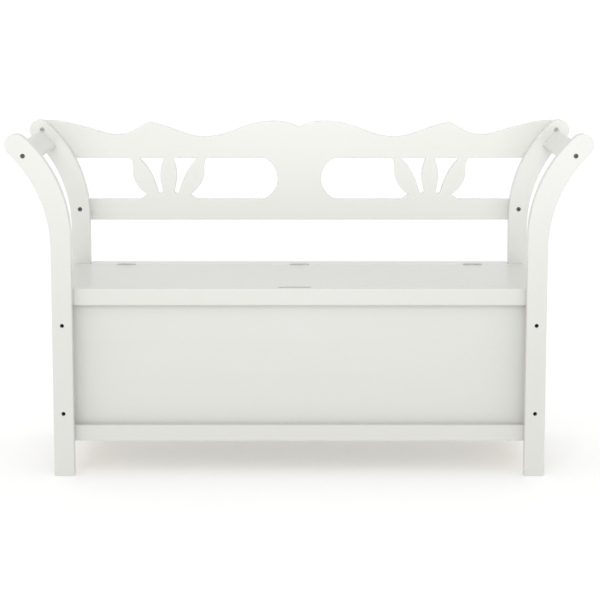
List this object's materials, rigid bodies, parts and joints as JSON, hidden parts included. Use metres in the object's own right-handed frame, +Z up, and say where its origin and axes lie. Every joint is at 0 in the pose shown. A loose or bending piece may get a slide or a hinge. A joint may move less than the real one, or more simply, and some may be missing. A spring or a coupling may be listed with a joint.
{
  "type": "storage bench",
  "caption": "White wooden storage bench with a hinged seat over a chest, out-curved posts, flat arm rails and a wavy backrest board cut with leaf shapes.",
  "frame": {"origin": "on the floor, under the middle of the bench's whole box", "axes": "+X along the bench's length, to the right of someone who faces its front; the front faces -Y; +Z up"},
  "size_m": [1.26, 0.42, 0.75],
  "materials": {
    "white_paint": "semi-gloss off-white paint on wood",
    "bare_wood": "bare pale wood",
    "bolt_steel": "zinc-plated socket-head bolt",
    "black_steel": "blackened socket-head bolt",
    "zinc": "zinc plate",
    "hinge_steel": "satin nickel"
  },
  "bodies": {
    "frame": {"arm_barrel_nuts": "zinc", "arm_front_bolts": "bolt_steel", "arm_rail_left": "white_paint", "arm_rail_right": "white_paint", "arm_rear_bolts": "bolt_steel", "back_panel": "white_paint", "backrest_board": "white_paint", "backrest_lower_bolts": "bolt_steel", "backrest_sleeve_nuts": "zinc", "backrest_upper_bolts": "bolt_steel", "batten_screws": "zinc", "bottom_rail": "white_paint", "bottom_rail_dowels": "bare_wood", "chest_front_bolts": "black_steel", "chest_rear_bolts": "black_steel", "floor_batten_front": "bare_wood", "floor_batten_left": "bare_wood", "floor_batten_rear": "bare_wood", "floor_batten_right": "bare_wood", "floor_panel": "white_paint", "front_panel": "white_paint", "front_panel_dowels": "bare_wood", "front_post_left": "white_paint", "front_post_right": "white_paint", "hinge_pin_left": "hinge_steel", "hinge_pin_middle": "hinge_steel", "hinge_pin_right": "hinge_steel", "hinge_strip_leaf_left": "hinge_steel", "hinge_strip_leaf_middle": "hinge_steel", "hinge_strip_leaf_right": "hinge_steel", "hinge_strip_screws": "hinge_steel", "rear_post_left": "white_paint", "rear_post_right": "white_paint", "rear_strip": "white_paint", "rear_strip_dowels": "bare_wood", "side_barrel_nuts": "zinc", "side_panel_left": "white_paint", "side_panel_right": "white_paint"},
    "lid": {"lid_board": "white_paint", "lid_lip": "white_paint", "lip_dowels": "bare_wood", "hinge_lid_screws": "hinge_steel", "hinge_lid_leaf_left": "hinge_steel", "hinge_lid_leaf_middle": "hinge_steel", "hinge_lid_leaf_right": "hinge_steel"}
  },
  "joints": [
    {"name": "lid_hinge", "type": "hinge", "parent": "frame", "child": "lid", "pos_m": [0, 0.1547, 0.4122], "axis": [-1, 0, 0], "range_deg": [0, 93]}
  ]
}
